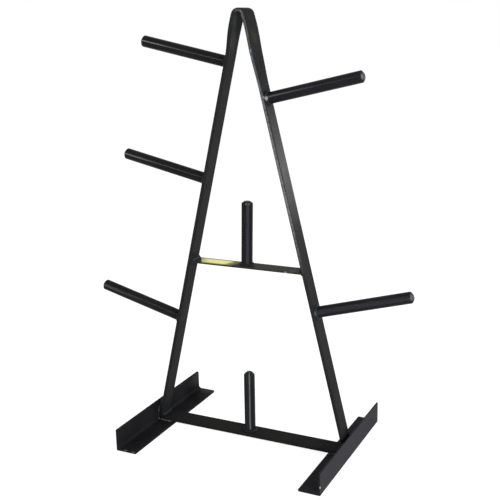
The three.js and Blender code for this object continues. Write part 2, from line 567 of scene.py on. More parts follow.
class BarSweep:
    """A tree that draws a bar by moving its section along a path."""

    label = "bar along a path"
    numbers: tuple[str, ...] = ()

    def __init__(self) -> None:
        """Builds the tree."""
        tree = bpy.data.node_groups.new(self.label, "GeometryNodeTree")
        sockets = [("Geometry", "Geometry"), ("Section", "Object"), ("Material", "Material"),
                   *((name, "Float") for name in self.numbers)]
        for name, kind in sockets:
            tree.interface.new_socket(name, in_out="INPUT", socket_type=f"NodeSocket{kind}")
        tree.interface.new_socket("Geometry", in_out="OUTPUT", socket_type="NodeSocketGeometry")
        graph = Graph(tree)
        given = graph.node("NodeGroupInput")
        path = graph.node("GeometryNodeMeshToCurve", {"Mesh": given.outputs["Geometry"]})
        drawn = graph.node("GeometryNodeObjectInfo", {"Object": given.outputs["Section"]})
        outline = graph.node("GeometryNodeMeshToCurve", {"Mesh": drawn.outputs["Geometry"]})
        swept = graph.node("GeometryNodeCurveToMesh", {
            "Curve": self._marked(graph, path.outputs[0]), "Profile Curve": outline.outputs[0],
            "Fill Caps": True,
        })
        shape = self._shaped(graph, given, swept.outputs[0])
        smooth = graph.node("GeometryNodeSetShadeSmooth", {"Geometry": shape})
        real = graph.node("GeometryNodeRealizeInstances", {"Geometry": smooth.outputs[0]})
        painted = graph.node("GeometryNodeSetMaterial", {
            "Geometry": real.outputs[0], "Material": given.outputs["Material"],
        })
        graph.node("NodeGroupOutput", {"Geometry": painted.outputs[0]})
        self.tree = tree

    def _marked(self, graph: Graph, path: Socket) -> Socket:
        """Stores on the path what the shape needs. A bar needs nothing."""
        return path

    def _shaped(self, graph: Graph, given: Node, swept: Socket) -> Socket:
        """Works on the swept shape. A bar stays as it is."""
        return swept

    def mesh(self, points: Sequence[Sequence[float]], section: Section, material: Paint,
             closed: bool = False, values: dict[str, float] | None = None) -> Mesh:
        """Sweeps a section along a path.

        Args:
            points: The path.
            section: The section.
            material: The finish of the result.
            closed: True to join the path's ends.
            values: Numbers for the tree's own inputs, by name.

        Returns:
            The swept mesh.
        """
        carrier, outline = path_object(points, closed), section.as_object()
        modifier = carrier.modifiers.new("nodes", "NODES")
        modifier.node_group = self.tree
        sockets = {item.name: item.identifier for item in self.tree.interface.items_tree
                   if item.item_type == "SOCKET" and item.in_out == "INPUT"}
        given = {"Section": outline, "Material": material, **(values or {})}
        for name, value in given.items():
            modifier[sockets[name]] = value
        return evaluated_mesh(carrier, outline)


@dataclass(frozen=True)
class Bead:
    """Sizes of one weld bead."""

    size: float
    ripples: int
    seed: int
    end_share: float = 0.0
    closed: bool = False
    depth: float = 0.00028
    wander: float = 1.4
    bulge: float = 0.12
    swell_power: float = 0.6
    steps: int = 14

    def values(self) -> dict[str, float]:
        """Gives the numbers that its tree asks for, by name."""
        return {"Ripples": float(self.ripples), "Ripple Depth": self.depth,
                "Wander": self.wander, "End Share": self.end_share, "Seed": float(self.seed)}

    def section(self, slope: float = 0.0, sunk: float = 0.0) -> Section:
        """Makes the section of a fillet weld with a swelling face.

        Args:
            slope: How far the second face leans out, as an angle from square.
            sunk: How far the section runs below the first face, to be cut later.

        Returns:
            The section, its root at the joint.
        """
        section = Section()
        first = (self.size, 0.0)
        run = (self.size * math.sin(slope) - self.size, self.size * math.cos(slope))
        length = math.hypot(*run)
        outward = (run[1] / length, -run[0] / length)
        section.add([(0.0, -sunk)])
        if sunk:
            section.add([(self.size, -sunk)])
        for step in range(self.steps + 1):
            share = step / self.steps
            bow = math.sin(math.pi * share)
            spot = shifted(shifted(first, run, share), outward, self.size * self.bulge * bow)
            section.add([spot], bow ** self.swell_power)
        return section


class WeldSweep(BarSweep):
    """A tree that lays a rippled weld bead along a joint."""

    label = "weld bead along a joint"
    numbers = ("Ripples", "Ripple Depth", "Wander", "End Share", "Seed")
    pace = Pattern(260.0, 1.0)  # how unevenly the ripples follow each other
    lumps = Pattern(90.0)  # how unevenly the joint is filled
    lump_share = 2.4  # height of the lumps beside that of the ripples
    level = 1.4  # what ripples and lumps add on the mean
    lumps_seed = 7.0
    curl = 0.45  # how far a ripple lags in the middle of the face
    blunt = 1.03  # over 1, so that an end isn't drawn to a point
    least_end = 1e-4

    def _marked(self, graph: Graph, path: Socket) -> Socket:
        """Stores the joint's line, and the share of it passed, on the path.

        Args:
            graph: The tree's graph.
            path: The joint's curve.

        Returns:
            The marked curve.
        """
        where = graph.node("GeometryNodeInputPosition").outputs[0]
        share = graph.node("GeometryNodeSplineParameter").outputs["Factor"]
        for name, kind, value in (("root", "FLOAT_VECTOR", where), ("share", "FLOAT", share)):
            inputs = {"Geometry": path, "Name": name, "Value": value}
            path = graph.node("GeometryNodeStoreNamedAttribute", inputs, data_type=kind).outputs[0]
        return path

    def _shaped(self, graph: Graph, given: Node, swept: Socket) -> Socket:
        """Moves each point of the bead's skin out to its ripple and in to its end.

        Args:
            graph: The tree's graph.
            given: The tree's input node.
            swept: The plain bead.

        Returns:
            The rippled bead.
        """
        kinds = (("root", "FLOAT_VECTOR"), ("share", "FLOAT"), (SWELL, "FLOAT"))
        root, share, swell = (graph.node("GeometryNodeInputNamedAttribute", {"Name": name},
                                         data_type=kind).outputs[0] for name, kind in kinds)
        ripples, depth, wander, end_share, seed = (given.outputs[name] for name in self.numbers)
        from_end = graph.minus(0.5, graph.math("ABSOLUTE", graph.minus(share, 0.5)))
        inset = graph.math("DIVIDE", from_end, graph.math("MAXIMUM", end_share, self.least_end))
        left = graph.minus(1.0, graph.math("MINIMUM", inset, 1.0))
        taper = graph.math("SQRT", graph.minus(self.blunt, graph.math("POWER", left, 2.0)))
        phase = graph.plus(graph.times(share, ripples),
                           graph.times(graph.noise(root, self.pace, seed), wander))
        phase = graph.minus(phase, graph.times(swell, self.curl))
        wave = graph.math("ABSOLUTE", graph.math("SINE", graph.times(phase, math.pi)))
        uneven = graph.noise(root, self.lumps, graph.plus(seed, self.lumps_seed))
        lift = graph.minus(graph.plus(wave, graph.times(uneven, self.lump_share)), self.level)
        lift = graph.times(lift, swell, depth)
        where = graph.node("GeometryNodeInputPosition").outputs[0]
        arm = graph.vector("SUBTRACT", where, root)
        raised = graph.vector("SCALE", graph.vector("NORMALIZE", arm), lift)
        tapered = graph.vector("SCALE", graph.vector("ADD", arm, raised), taper)
        inputs = {"Geometry": swept, "Position": graph.vector("ADD", root, tapered)}
        return graph.node("GeometryNodeSetPosition", inputs).outputs[0]

    def lay(self, points: Sequence[Sequence[float]], section: Section, bead: Bead,
            material: Paint) -> Mesh:
        """Lays a bead along a joint.

        Args:
            points: The joint's line.
            section: The bead's section, its root at the joint.
            bead: The bead's sizes.
            material: The finish of the result.

        Returns:
            The bead's mesh.
        """
        return self.mesh(points, section, material, bead.closed, bead.values())


# Finishes

CLOUDS = Pattern(9.0, 3.0, 1.0, shown=(0.35, 0.68))
SPECKS = Pattern(420.0, 3.0, 2.0, shown=(0.50, 0.74))
ROLLED_LINES = Pattern(900.0, 3.0, 3.0, along=0.06)
ORANGE_PEEL = Pattern(850.0, 1.0, 8.0)
PATCH_SEED = 9.0
PATCH_WOBBLE = Pattern(55.0, 3.0, 11.0)
PATCH_STREAKS = Pattern(260.0, 3.0, 12.0, shown=(0.5, 0.75), along=0.25)
HIGHLIGHT_BLOTCHES = Pattern(190.0, 3.0, 13.0, 0.5, (0.34, 0.66))
NOSE_BLOTCHES = Pattern(190.0, 3.0, 14.0, 0.4, (0.32, 0.62))
BAND_BREAKS = Pattern(240.0, 3.0, 15.0, shown=(0.25, 0.6), along=0.12)
LINE_BREAKS = Pattern(230.0, 2.0, 16.0, shown=(0.25, 0.6))


@dataclass(frozen=True)
class Stain:
    """A soft patch where the paint has another tint: some are real stains, some painted light or
    painted shade.
    """

    place: Place
    reach: Place
    colour: Colour
    share: float = 0.6
    ragged: float = 120.0
    raggedness: float = 0.6
    edge: Point = (1.3, 0.5)

    def lay(self, graph: PaintGraph, colour: Socket) -> Socket:
        """Lays the patch over the paint.

        Args:
            graph: The material's graph.
            colour: The paint's colour.

        Returns:
            The colour with its patch.
        """
        away = graph.vector("SUBTRACT", graph.spot, self.place)
        apart = graph.vector("LENGTH", graph.vector("DIVIDE", away, self.reach))
        uneven = graph.noise(graph.spot, Pattern(self.ragged, seed=PATCH_SEED))
        apart = graph.times_plus(uneven, self.raggedness, apart)
        share = graph.times(graph.ramp(apart, *self.edge), self.share)
        return graph.mix(share, colour, self.colour)


@dataclass(frozen=True)
class Line:
    """A thin painted highlight line on the paint."""

    start: Place
    end: Place
    radius: float
    colour: Colour
    share: float = 0.9
    core: float = 0.3
    least: float = 0.5

    def lay(self, graph: PaintGraph, colour: Socket) -> Socket:
        """Draws the painted highlight line on the paint.

        Args:
            graph: The material's graph.
            colour: The paint's colour.

        Returns:
            The colour with its painted highlight line.
        """
        run = Vector(self.end) - Vector(self.start)
        from_start = graph.vector("SUBTRACT", graph.spot, self.start)
        along = graph.vector("DOT_PRODUCT", from_start, tuple(run / run.length_squared))
        along = graph.node("ShaderNodeClamp", {"Value": along}).outputs[0]
        apart = graph.vector("DISTANCE", from_start, graph.vector("SCALE", tuple(run), along))
        near = graph.ramp(apart, self.radius, self.core * self.radius)
        breaks = graph.between(graph.noise(graph.spot, LINE_BREAKS), self.least, 1.0)
        return graph.mix(graph.times(near, breaks, self.share), colour, self.colour)


def fleck(place: Place, reach: Place, colour: Colour, share: float = 0.9,
          ragged: float = 420.0) -> Stain:
    """Makes a small, strong patch with a finely ragged edge, for a real fleck and for a painted
    glint alike.
    """
    return Stain(place, reach, colour, share, ragged)


@dataclass(frozen=True)
class PaintFinish:
    """Black paint over steel, as one kind of piece has it."""

    name: str
    colour: Colour
    tint: Colour
    roughness: float
    ior: float
    peel: float = 0.10
    grain: float = 0.25
    dull_tip: float = 0.0
    marks: tuple[Stain | Line, ...] = ()
    dust: float = 0.3
    dust_paler: float = 1.9
    dust_grey: float = 0.006
    cloud_dulls: float = 0.07
    speck_dulls: float = 0.08
    bump_strength: float = 0.5
    bump_depth: float = 0.0003

    def material(self) -> Paint:
        """Builds the material.

        Returns:
            A new material with procedural colour, gloss and bump.
        """
        made = bpy.data.materials.new(self.name)
        made.use_nodes = True
        graph = PaintGraph(made.node_tree)
        shader = made.node_tree.nodes["Principled BSDF"]
        shader.inputs["IOR"].default_value = self.ior
        clouds, specks = graph.noise(graph.spot, CLOUDS), graph.noise(graph.spot, SPECKS)
        dusty = tuple(self.dust_paler * part + self.dust_grey for part in self.tint)
        colour = graph.mix(clouds, self.colour, self.tint)
        colour = graph.mix(graph.times(specks, self.dust), colour, dusty)
        for mark in self.marks:
            colour = mark.lay(graph, colour)
        graph.feed(shader.inputs["Base Color"], self.dress(graph, colour))
        rough = graph.times_plus(clouds, self.cloud_dulls, self.roughness)
        rough = graph.times_plus(specks, self.speck_dulls, rough)
        if self.dull_tip:
            rough = graph.times_plus(graph.stored(TIP, "Fac"), self.dull_tip, rough)
        graph.feed(shader.inputs["Roughness"], rough)
        rolled = graph.times(graph.noise(graph.bar, ROLLED_LINES), self.grain)
        skin = graph.times_plus(graph.noise(graph.spot, ORANGE_PEEL), self.peel, rolled)
        bump = graph.node("ShaderNodeBump", {
            "Strength": self.bump_strength, "Distance": self.bump_depth, "Height": skin,
        })
        graph.feed(shader.inputs["Normal"], bump.outputs[0])
        return made

    def dress(self, graph: PaintGraph, colour: Socket) -> Socket:
        """Adds what only one kind of piece has. Plain paint adds nothing.

        Args:
            graph: The material's graph.
            colour: The paint's colour.

        Returns:
            The colour to use.
        """
        return colour


@dataclass(frozen=True)
class RubbedEdgeFinish(PaintFinish):
    """The A's paint, with a painted highlight along the right leg's front edge."""

    # colour of the painted highlight on the right leg's front edge
    rub: Colour = (0.128, 0.128, 0.136)
    front: Point = (-0.0168, -0.0178)
    inner: Point = (-0.0046, -0.0022)
    outer: Point = (0.0030, 0.0002)
    slant: float = 0.003
    begins: Point = (-0.012, 0.006)
    ends: Point = (0.60, 0.42)
    grows: Point = (0.11, 0.27)
    strengths: Point = (0.66, 1.14)
    blotch_strengths: Point = (0.45, 1.15)

    def dress(self, graph: PaintGraph, colour: Socket) -> Socket:
        """Paints a lighter, blotchy highlight along the edge.

        Args:
            graph: The material's graph.
            colour: The paint's colour.

        Returns:
            The paint with its painted edge highlight.
        """
        along, across, into = graph.split(graph.bar)
        depth = graph.minus(into, graph.times(along, self.slant))
        edge = graph.times(graph.ramp(across, *self.front), graph.ramp(depth, *self.inner),
                           graph.ramp(depth, *self.outer))
        length = graph.times(graph.ramp(along, *self.begins), graph.ramp(along, *self.ends))
        strength = graph.between(graph.ramp(along, *self.grows), *self.strengths)
        blotches = graph.between(graph.noise(graph.bar, HIGHLIGHT_BLOTCHES), *self.blotch_strengths)
        amount = graph.math("MINIMUM", graph.times(edge, length, strength, blotches), 1.0)
        return graph.mix(amount, colour, self.rub)


@dataclass(frozen=True)
class Band:
    """A painted highlight band along a round bar, placed by the distance round it."""

    colour: Colour
    middle: float
    half: float
    run: Point = (-1.0, -0.5)
    core: float = 0.25

    def mask(self, graph: Graph, around: Socket) -> Socket:
        """Gives 1 in the band and 0 outside it."""
        apart = graph.math("ABSOLUTE", graph.minus(around, self.middle))
        return graph.ramp(apart, self.half, self.core * self.half)


@dataclass(frozen=True)
class PegFinish(PaintFinish):
    """A peg's paint, with painted highlights on its nose, in a line along its side and in a glint
    on its cone.
    """

    nose: Colour = (0.07, 0.07, 0.075)
    streak: Band | None = None
    glint: Band | None = None
    least_nose: float = 0.45
    least_streak: float = 0.6
    least_glint: float = 0.55
    cone_begins: Point = (0.0, 0.08)
    cone_ends: Point = (0.9, 0.5)

    def dress(self, graph: PaintGraph, colour: Socket) -> Socket:
        """Paints the highlights on the nose, in the line, and in the glint on the cone where there
        is one.

        Args:
            graph: The material's graph.
            colour: The paint's colour.

        Returns:
            The rubbed paint.
        """
        tip = graph.stored(TIP, "Fac")
        along, around, _ = graph.split(graph.bar)
        blotches = graph.noise(graph.spot, NOSE_BLOTCHES)
        share = graph.times(tip, graph.between(blotches, self.least_nose, 1.0))
        # painted highlight on the nose
        colour = graph.mix(share, colour, self.nose)
        # painted highlight line along the side
        if self.streak:
            breaks = graph.noise(graph.bar, BAND_BREAKS)
            share = graph.times(self.streak.mask(graph, around),
                                graph.between(breaks, self.least_streak, 1.0),
                                graph.ramp(along, *self.streak.run))
            colour = graph.mix(share, colour, self.streak.colour)
        if self.glint:
            cone = graph.times(graph.ramp(tip, *self.cone_begins),
                               graph.ramp(tip, *self.cone_ends))
            share = graph.times(self.glint.mask(graph, around), cone,
                                graph.between(blotches, self.least_glint, 1.0))
            colour = graph.mix(share, colour, self.glint.colour)
        return colour


@dataclass(frozen=True)
class PaleWallFinish(PaintFinish):
    """A foot's paint, with painted light on the outside of its wall, most in front."""

    lift: float = 1.98
    outside: Point = (0.2498, 0.2514)
    fades: Point = (-0.19, 0.19)
    kept_behind: float = 0.67

    def dress(self, graph: PaintGraph, colour: Socket) -> Socket:
        """Paints light on the outer face.

        Args:
            graph: The material's graph.
            colour: The paint's colour.

        Returns:
            The paint with its paler face.
        """
        x, y, _ = graph.split(graph.spot)
        kept = graph.between(graph.ramp(y, *self.fades), 1.0, self.kept_behind)
        # the paler colour is painted light
        pale = graph.vector("SCALE", colour, self.lift)
        return graph.mix(graph.times(graph.ramp(x, *self.outside), kept), colour, pale)


@dataclass(frozen=True)
class GoldenPatchFinish(PaintFinish):
    """The cross bar's paint, with the golden patch on top of its left third."""

    start: float = -0.1103
    start_slant: float = -0.556
    start_edge: Point = (-0.0012, 0.0016)
    green_run: Point = (0.0, 0.022)
    gold_end: float = -0.0460
    olive_end: float = -0.0290
    end: float = -0.0120
    end_slant: float = -0.35
    wobble: float = 0.004
    top: Point = (0.4060, 0.4078)
    middle: float = 0.0044
    side_edge: Point = (0.0202, 0.0190)
    front_rim: Point = (0.0128, 0.0172)
    back_rim: Point = (0.0095, 0.0150)
    streak_share: float = 0.2
    gold: Colour = (1.0, 0.93, 0.36)
    green: Colour = (0.56, 0.57, 0.24)
    rim: Colour = (0.34, 0.325, 0.125)
    olive: Colour = (0.22, 0.215, 0.09)

    def dress(self, graph: PaintGraph, colour: Socket) -> Socket:
        """Lays the patch over the paint.

        Args:
            graph: The material's graph.
            colour: The paint's colour.

        Returns:
            The paint with its patch.
        """
        x, y, z = graph.split(graph.spot)
        wobble = graph.between(graph.noise(graph.spot, PATCH_WOBBLE), -self.wobble, self.wobble)
        off_middle = graph.minus(y, self.middle)
        across = graph.math("ABSOLUTE", off_middle)
        along = graph.times_plus(off_middle, self.end_slant, graph.plus(x, wobble))
        from_start = graph.minus(x, graph.times_plus(off_middle, self.start_slant, self.start))
        covered = graph.times(graph.ramp(z, *self.top), graph.ramp(across, *self.side_edge),
                              graph.ramp(from_start, *self.start_edge),
                              graph.ramp(along, self.end, self.olive_end))
        tone = graph.mix(graph.ramp(from_start, *self.green_run), self.green, self.gold)
        streaks = graph.noise(graph.spot, PATCH_STREAKS)
        tone = graph.mix(graph.times(streaks, self.streak_share), tone, self.green)
        edged = graph.math("MAXIMUM", graph.ramp(across, *self.front_rim),
                           graph.ramp(off_middle, *self.back_rim))
        tone = graph.mix(edged, tone, self.rim)
        tone = graph.mix(graph.ramp(along, self.gold_end, self.olive_end), tone, self.olive)
        return graph.mix(covered, colour, tone)


# Pieces


@dataclass
class BentFrame:
    """The A: one flat bar bent over at the top and coped into both feet."""

    layout: Layout
    sweep: BarSweep
    finish: PaintFinish
    edge_radius: float = 0.0025
    bend_steps: int = 28
    leg_steps: int = 36
    swell_at_bend: float = 0.0006
    swell_reach: float = 0.022
    bend_turn: float = 0.12
    bend_spread: float = 0.15
    left_turn: Point = (0.864, 0.925)
    right_turn: Point = (0.794, 0.870)
    spread_heights: Point = (0.858, 0.932)

    def centreline(self) -> list[Place]:
        """Lays out the middle of the bar from the left foot over to the right.

        Returns:
            The points of the path.
        """
        place = self.layout
        over = arc((0.0, place.bend_centre), place.bend_middle, math.pi - place.lean,
                   place.lean, self.bend_steps)
        (last_x, last_z), low = over[-1], self.right_turn[0]
        stops = [last_z + (low - last_z) * step / self.leg_steps
                 for step in range(1, self.leg_steps + 1)] + [place.angle_wall / 2]
        leg = [(last_x + (last_z - z) * math.tan(place.lean), z) for z in stops]
        line = [*((-x, z) for x, z in reversed(leg)), *over, *leg]
        return [(x, 0.0, z) for x, z in line]

    def bar_place(self, point: Vector) -> Place:
        """Works out where a point lies along, across and into the bar.

        Args:
            point: The point, about the middle of the A.

        Returns:
            The three distances.
        """
        lean, middle = self.layout.lean, self.layout.bend_middle
        side = 1.0 if point.x >= 0 else -1.0
        x, z = abs(point.x), point.z - self.layout.bend_centre
        down = x * math.sin(lean) - z * math.cos(lean)
        if down > 0:
            depth = x * math.cos(lean) + z * math.sin(lean) - middle
            return side * ((QUARTER - lean) * middle + down), point.y, depth
        return side * math.atan2(x, z) * middle, point.y, math.hypot(x, z) - middle

    def swell(self, mesh: Mesh) -> None:
        """Widens the inside of the bend and narrows its outside, as bending does.

        Args:
            mesh: The bar's mesh, about the middle of the A.
        """
        for vertex in mesh.vertices:
            along, _, depth = self.bar_place(vertex.co)
            near_bend = max(0.0, 1.0 - abs(along) / self.swell_reach)
            share = depth / (self.layout.bar_thickness / 2)
            most = self.swell_at_bend / (self.layout.bar_width / 2)
            vertex.co.y *= 1.0 - most * share * near_bend

    def press(self, mesh: Mesh) -> None:
        """Leaves the bend a little turned and spread, as a hand press does.

        Args:
            mesh: The bar's mesh, about the middle of the A.
        """
        for vertex in mesh.vertices:
            x, y, z = vertex.co
            turned = eased(z, *(self.right_turn if x >= 0 else self.left_turn))
            spread = eased(z, *self.spread_heights)
            vertex.co.x = x * (1.0 + self.bend_spread * spread) + y * self.bend_turn * turned

    def build(self) -> None:
        """Sweeps the bar, copes its ends and presses its bend."""
        place = self.layout
        material = self.finish.material()
        section = rounded_bar(place.bar_width, place.bar_thickness, self.edge_radius)
        mesh = self.sweep.mesh(self.centreline(), section, material)
        self.swell(mesh)
        body = linked("scratch", mesh)
        cutters = []
        for side in Side:
            foot = AngleFoot(place, self.sweep, self.finish, side)
            cutters.append(linked("scratch", foot.solid(material, place.weld_gap)))
            cut = body.modifiers.new("cope", "BOOLEAN")
            cut.operation = "DIFFERENCE"
            cut.solver = "EXACT"
            cut.object = cutters[-1]
        mesh = evaluated_mesh(body, *cutters)
        tidy_mesh(mesh)
        set_grain(mesh, self.bar_place)
        self.press(mesh)
        piece("a_frame_bar", mesh, material, Slot.FRAME, "bent_frame")


@dataclass
class AngleFoot:
    """A length of rolled angle, its wall outwards and its flange inwards."""

    layout: Layout
    sweep: BarSweep
    finish: PaintFinish
    side: Side
    toe: float = 0.0035
    heel: float = 0.0015
    front_corner: float = 0.0015
    back_corner: float = 0.0015
    corner_stops: tuple[int, ...] = (30, 45, 60, 75, 90)
    beside_edge: Point = (0.001, 0.004)
    heel_steps: int = 5
    toe_steps: int = 8
    root_steps: int = 10
    filed_by: float = 0.0004

    def section(self, gap: float) -> Section:
        """Draws the angle's section.

        Args:
            gap: How much it is grown all round.

        Returns:
            The section, with extra points beside its edges to keep the flats flat.
        """
        place = self.layout
        tip, wall = place.angle_side + gap, place.angle_wall + gap
        root, half = place.angle_wall + place.angle_root, place.foot_span / 2
        toe_x, toe_z = tip - self.toe, wall - self.toe
        near, far = self.beside_edge
        drawn = Section()
        drawn.add(arc((self.heel, self.heel), self.heel + gap, 2 * QUARTER, 3 * QUARTER,
                      self.heel_steps))
        drawn.add([(self.heel + far, -gap), (tip - far, -gap), (tip, -gap)])
        drawn.add(arc((toe_x, toe_z), self.toe, 0.0, QUARTER, self.toe_steps))
        drawn.add([(toe_x - near, wall), (root + near, wall)])
        drawn.add(arc((root, root), place.angle_root - gap, 3 * QUARTER, 2 * QUARTER,
                      self.root_steps))
        drawn.add([(wall, root + near), (wall, toe_x - near)])
        drawn.add(arc((toe_z, toe_x), self.toe, 0.0, QUARTER, self.toe_steps))
        drawn.add([(-gap, tip), (-gap, tip - far), (-gap, self.heel + far)])
        drawn.points = [(self.side.value * (half - x), z) for x, z in drawn.points]
        return drawn

    def solid(self, material: Paint, gap: float = 0.0) -> Mesh:
        """Sweeps the section from front to back.

        Args:
            material: The finish of the result.
            gap: How much the section is grown all round.

        Returns:
            The closed mesh.
        """
        half = self.layout.foot_length / 2
        stops = [-half, half]
        for turn in self.corner_stops:
            inset = 1.0 - math.cos(math.radians(turn))
            stops += [inset * self.front_corner - half, half - inset * self.back_corner]
        line = [(0.0, y - self.layout.foot_forward, 0.0) for y in sorted(stops)]
        mesh = self.sweep.mesh(line, self.section(gap), material)
        for vertex in mesh.vertices:
            self._round_corner(vertex.co, gap)
        tidy_mesh(mesh)
        return mesh

    def _round_corner(self, point: Vector, gap: float) -> None:
        """Pulls a point near a sawn end in, so that the free corners are round.

        Args:
            point: The point, changed in place.
            gap: How much the section is grown all round.
        """
        place = self.layout
        along = point.y + place.foot_forward
        from_end = place.foot_length / 2 - abs(along)
        radius = self.front_corner if along < 0.0 else self.back_corner
        short = min(radius, max(0.0, radius - from_end))
        reach = place.angle_side + gap - radius + math.sqrt(radius ** 2 - short ** 2)
        point.z = min(point.z, reach)
        point.x = self.side.value * max(abs(point.x), place.foot_span / 2 - reach)

    def build(self) -> None:
        """Makes the foot and files its sawn ends."""
        material = self.finish.material()
        mesh = filed(self.solid(material), self.filed_by)
        set_grain(mesh, lambda point: (point.y, point.x, point.z))
        name = f"foot_{self.side.label}"
        piece(f"angle_{name}", mesh, material, Slot.FOOT, name)


@dataclass
class TieBar:
    """A flat bar between the legs, its ends cut to their slope."""

    layout: Layout
    sweep: BarSweep
    finish: PaintFinish
    node: str
    slot: Slot
    bottom: float
    width: float
    thickness: float
    edge_radius: float
    end_stop: float = 0.0012
    filed_by: float = 0.0003

    @property
    def top(self) -> float:
        """Height of the bar's top face."""
        return self.bottom + self.thickness

    def build(self) -> None:
        """Sweeps the bar and slopes its ends."""
        place = self.layout
        material = self.finish.material()
        middle = self.bottom + self.thickness / 2
        reach = place.inner_x(middle) - place.weld_gap
        stops = [-reach, self.end_stop - reach, reach - self.end_stop, reach]
        section = rounded_bar(self.width, self.thickness, self.edge_radius)
        mesh = self.sweep.mesh([(x, 0.0, middle) for x in stops], section, material)
        for vertex in mesh.vertices:
            slope = place.inner_x(vertex.co.z) - place.inner_x(middle)
            vertex.co.x += math.copysign(slope, vertex.co.x)
        tidy_mesh(mesh)
        mesh = filed(mesh, self.filed_by)
        set_grain(mesh, lambda point: (point.x, point.y, point.z - middle))
        piece(f"{self.node}_flat", mesh, material, self.slot, self.node)


@dataclass
class WeldedPeg:
    """A round bar with a turned nose, and the ring of weld at its root."""

    layout: Layout
    welds: WeldSweep
    finish: PaintFinish
    weld_finish: PaintFinish
    node: str
    seat: Matrix
    lean: float
    length: float
    seed: int
    radius: float = 0.0125
    nose_length: float = 0.0045
    nose_radius: float = 0.0065
    rim_radius: float = 0.0024
    rim_steps: int = 8
    side_rings: Place = (0.1, 0.5, 0.97)
    near_shoulder: float = 0.0006
    cone_rings: Place = (0.15, 0.5, 0.85)
    cone_tip: float = 0.3
    rim_tip: float = 0.6
    rim_tip_step: float = 0.05
    end_rings: Place = (0.93, 0.5, 0.12)
    facets: int = 96
    sharp_degrees: float = 50.0
    weld_size: float = 0.005
    weld_ripples: int = 30
    weld_steps: int = 340

    def profile(self) -> list[Place]:
        """Draws the bar's outline from just above its root to its end.

        Returns:
            Radius, distance along the bar and tip value of each ring.
        """
        slope = math.atan2(self.radius - self.nose_radius, self.nose_length)
        shoulder = self.length - self.nose_length - self.rim_radius * math.tan(slope / 2)
        rim = self.nose_radius - self.rim_radius * math.tan((QUARTER - slope) / 2)
        side = [share * shoulder for share in self.side_rings]
        rings = [(self.radius, z, 0.0) for z in (*side, shoulder - self.near_shoulder)]
        turned = arc((self.radius - self.rim_radius, shoulder), self.rim_radius, 0.0, slope,
                     self.rim_steps)
        rings += [(r, z, 0.0) for r, z in turned]
        tip = arc((rim, self.length - self.rim_radius), self.rim_radius, slope, QUARTER,
                  self.rim_steps)
        (low_r, low_z), (high_r, high_z) = turned[-1], tip[0]
        rings += [(low_r + (high_r - low_r) * share, low_z + (high_z - low_z) * share,
                   self.cone_tip * share) for share in self.cone_rings]
        rings += [(r, z, self.rim_tip + self.rim_tip_step * step)
                  for step, (r, z) in enumerate(tip)]
        return rings + [(rim * share, self.length, 1.0) for share in self.end_rings]

    def bar_mesh(self) -> Mesh:
        """Turns the bar and trims its root to the face it stands on.

        Returns:
            The closed mesh, about the middle of the A.
        """
        tilt = Matrix.Rotation(self.lean, 3, "Y")
        back = tilt.transposed()
        axis = tilt @ Vector((0.0, 0.0, 1.0))
        work = bmesh.new()
        layer = work.verts.layers.float.new(TIP)
        loops = []
        for radius, along, tip in [(self.radius, 0.0, 0.0), *self.profile()]:
            loop = [work.verts.new(tilt @ Vector((radius * c, radius * s, along)))
                    for c, s in ring(1.0, self.facets)]
            for vertex in loop:
                vertex[layer] = tip
            loops.append(loop)
        for vertex in loops[0]:
            vertex.co += axis * ((self.layout.weld_gap - vertex.co.z) / axis.z)
        for low, high in zip(loops, loops[1:]):
            for i in range(self.facets):
                j = (i + 1) % self.facets
                work.faces.new((low[i], low[j], high[j], high[i]))
        work.faces.new(list(reversed(loops[0])))
        work.faces.new(loops[-1])
        mesh = bpy.data.meshes.new("bar")
        work.to_mesh(mesh)
        work.free()
        tidy_mesh(mesh, self.sharp_degrees)

        def unrolled(point: Vector) -> Place:
            """Works out how far along and round the bar a point lies."""
            own = back @ point
            return own.z, math.atan2(own.y, own.x) * self.radius, 0.0

        set_grain(mesh, unrolled)
        mesh.transform(self.seat)
        return mesh

    def weld_mesh(self, material: Paint) -> Mesh:
        """Lays the ring of weld and trims it to the face.

        Args:
            material: The weld's finish.

        Returns:
            The closed mesh, about the middle of the A.
        """
        gap = self.layout.weld_gap
        circle = [(x, y, gap) for x, y in ring(self.radius + gap, self.weld_steps)]
        bead = Bead(self.weld_size, self.weld_ripples, self.seed, closed=True)
        mesh = self.welds.lay(circle, bead.section(sunk=self.weld_size), bead, material)
        mesh.transform(Matrix.Rotation(self.lean, 4, "Y"))
        for vertex in mesh.vertices:
            vertex.co.z = max(vertex.co.z, gap)
        tidy_mesh(mesh, WELD_SHARP)
        mesh.transform(self.seat)
        set_grain(mesh, tuple)
        return mesh

    def build(self) -> None:
        """Makes the bar and its weld."""
        paint, weld = self.finish.material(), self.weld_finish.material()
        piece(f"{self.node}_bar", self.bar_mesh(), paint, Slot.PEG, self.node)
        piece(f"bead_{self.node}", self.weld_mesh(weld), weld, Slot.WELD, f"weld_{self.node}")


